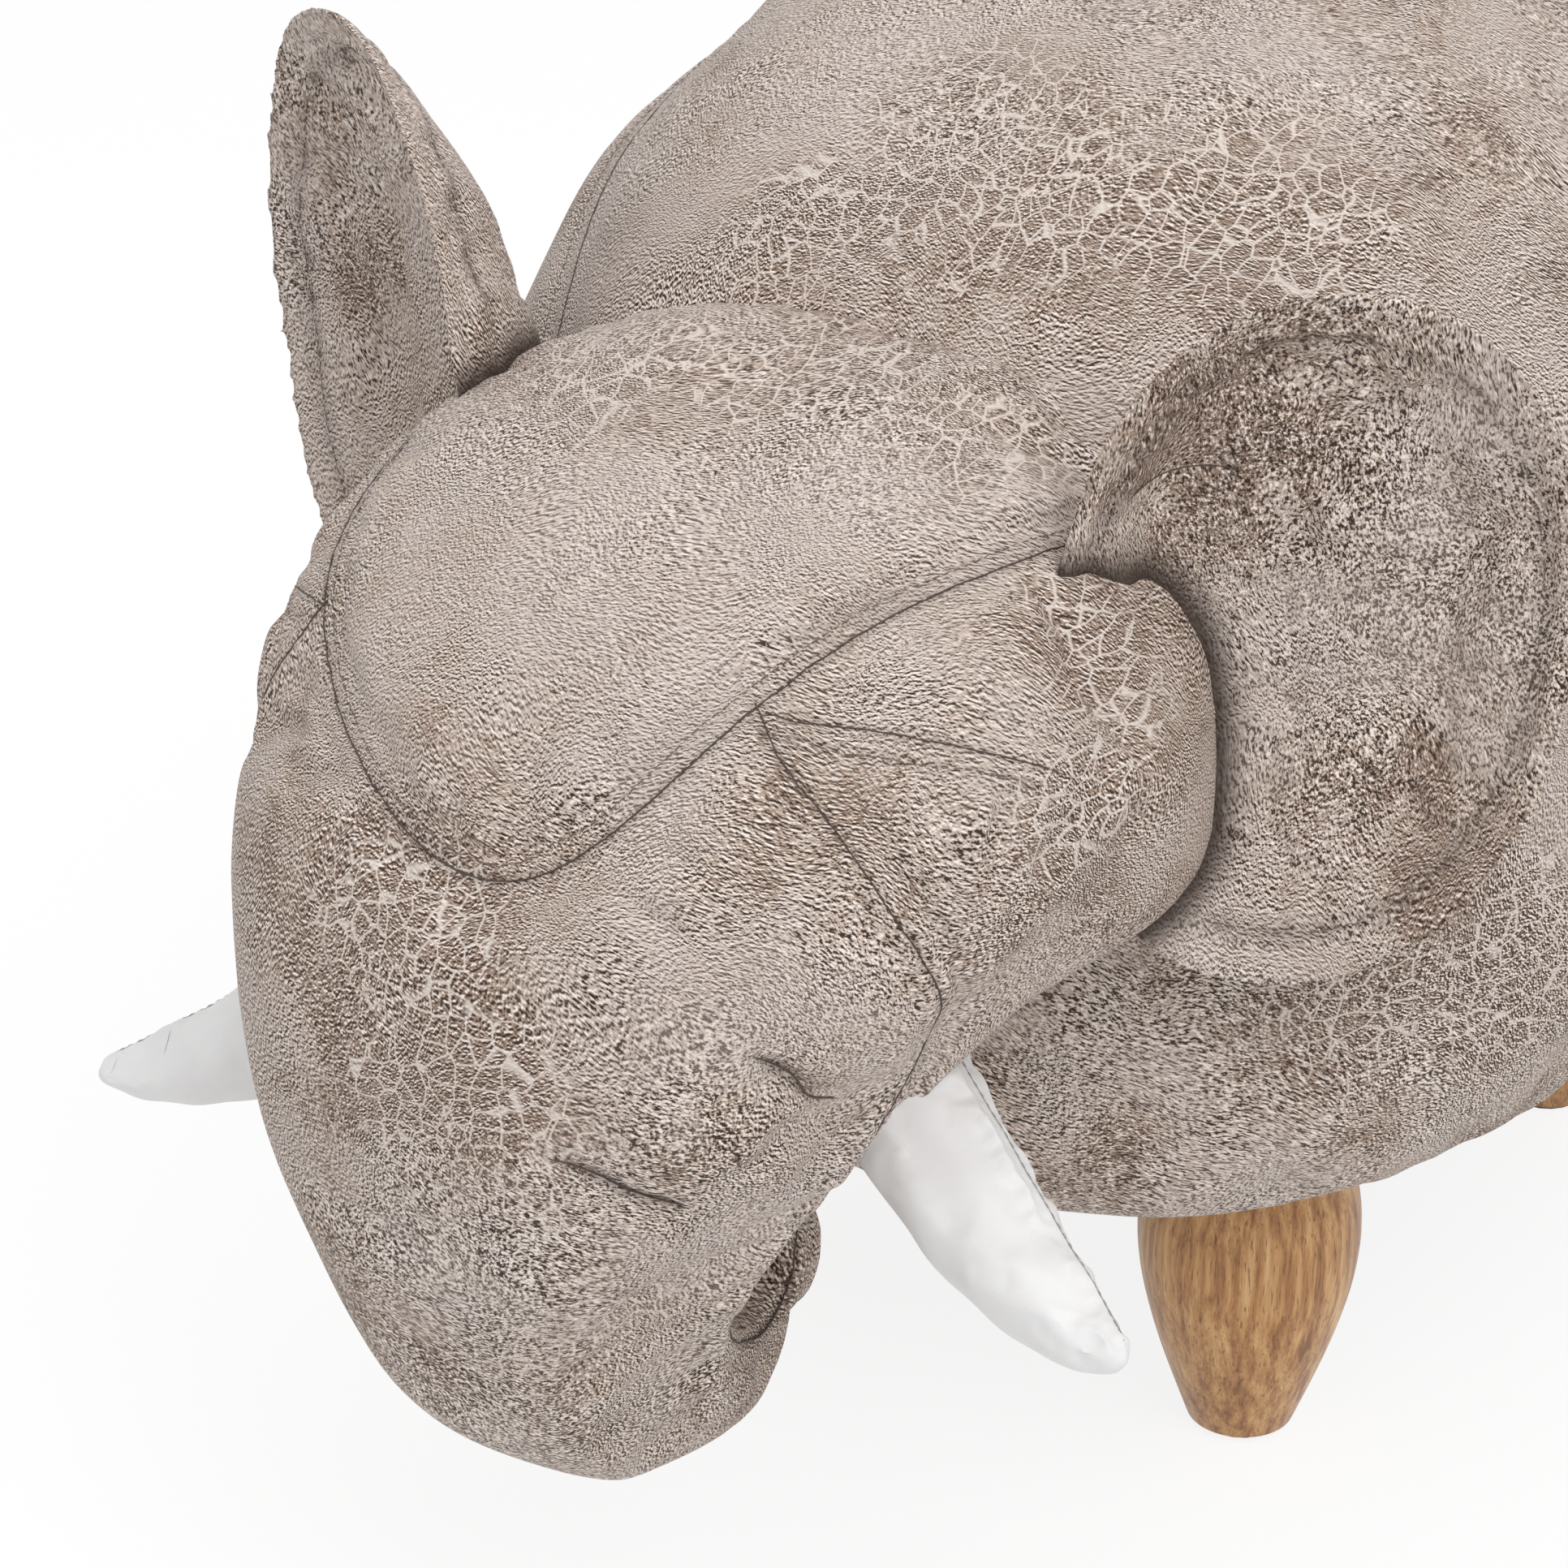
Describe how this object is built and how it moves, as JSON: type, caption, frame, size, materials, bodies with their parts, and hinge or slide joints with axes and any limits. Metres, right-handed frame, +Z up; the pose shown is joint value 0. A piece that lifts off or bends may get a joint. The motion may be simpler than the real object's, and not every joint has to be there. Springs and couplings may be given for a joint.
{
  "type": "animal footstool",
  "caption": "Upholstered footstool in the shape of an elephant: domed padded body, stuffed head with curled trunk, ears and tusks, on turned wooden legs.",
  "frame": {"origin": "on the floor, in the middle of the bounding box, between the four legs and slightly ahead of their middle", "axes": "+Z up, -Y the way the head looks, +X the animal's left side"},
  "size_m": [0.3762, 0.6084, 0.3996],
  "materials": {
    "hide": "distressed taupe grey faux leather with a pebble grain",
    "tusk_leather": "white faux leather with a fine grain, satin",
    "leg_wood": "turned hardwood, lacquered, satin",
    "plywood": "sanded plywood",
    "foam": "open cell foam",
    "stuffing": "polyester fibre",
    "lining": "black non-woven dust cover",
    "zinc": "zinc plated steel",
    "felt": "brown felt"
  },
  "bodies": {
    "root": {"base_board": "plywood", "front_end_panel": "plywood", "rear_end_panel": "plywood", "left_rail": "plywood", "right_rail": "plywood", "seat_deck": "plywood", "neck_block": "plywood", "upper_neck_bolt": "zinc", "lower_neck_bolt": "zinc", "seat_foam": "foam", "side_foam": "foam", "seat_panel": "hide", "chest_panel": "hide", "rump_panel": "hide", "left_flank": "hide", "right_flank": "hide", "head_stuffing": "stuffing", "trunk_stuffing": "stuffing", "crown_panel": "hide", "left_upper_cheek": "hide", "right_upper_cheek": "hide", "left_lower_cheek": "hide", "right_lower_cheek": "hide", "trunk_panel": "hide", "trunk_gusset": "hide", "left_ear_front": "hide", "left_ear_back": "hide", "right_ear_front": "hide", "right_ear_back": "hide", "left_tusk": "tusk_leather", "right_tusk": "tusk_leather", "tail": "hide", "tail_tuft": "hide", "front_left_leg": "leg_wood", "front_right_leg": "leg_wood", "rear_left_leg": "leg_wood", "rear_right_leg": "leg_wood", "front_left_hanger_bolt": "zinc", "front_right_hanger_bolt": "zinc", "rear_left_hanger_bolt": "zinc", "rear_right_hanger_bolt": "zinc", "front_left_t_nut": "zinc", "front_right_t_nut": "zinc", "rear_left_t_nut": "zinc", "rear_right_t_nut": "zinc", "front_left_glide": "felt", "front_right_glide": "felt", "rear_left_glide": "felt", "rear_right_glide": "felt", "dust_cover": "lining"}
  },
  "joints": []
}
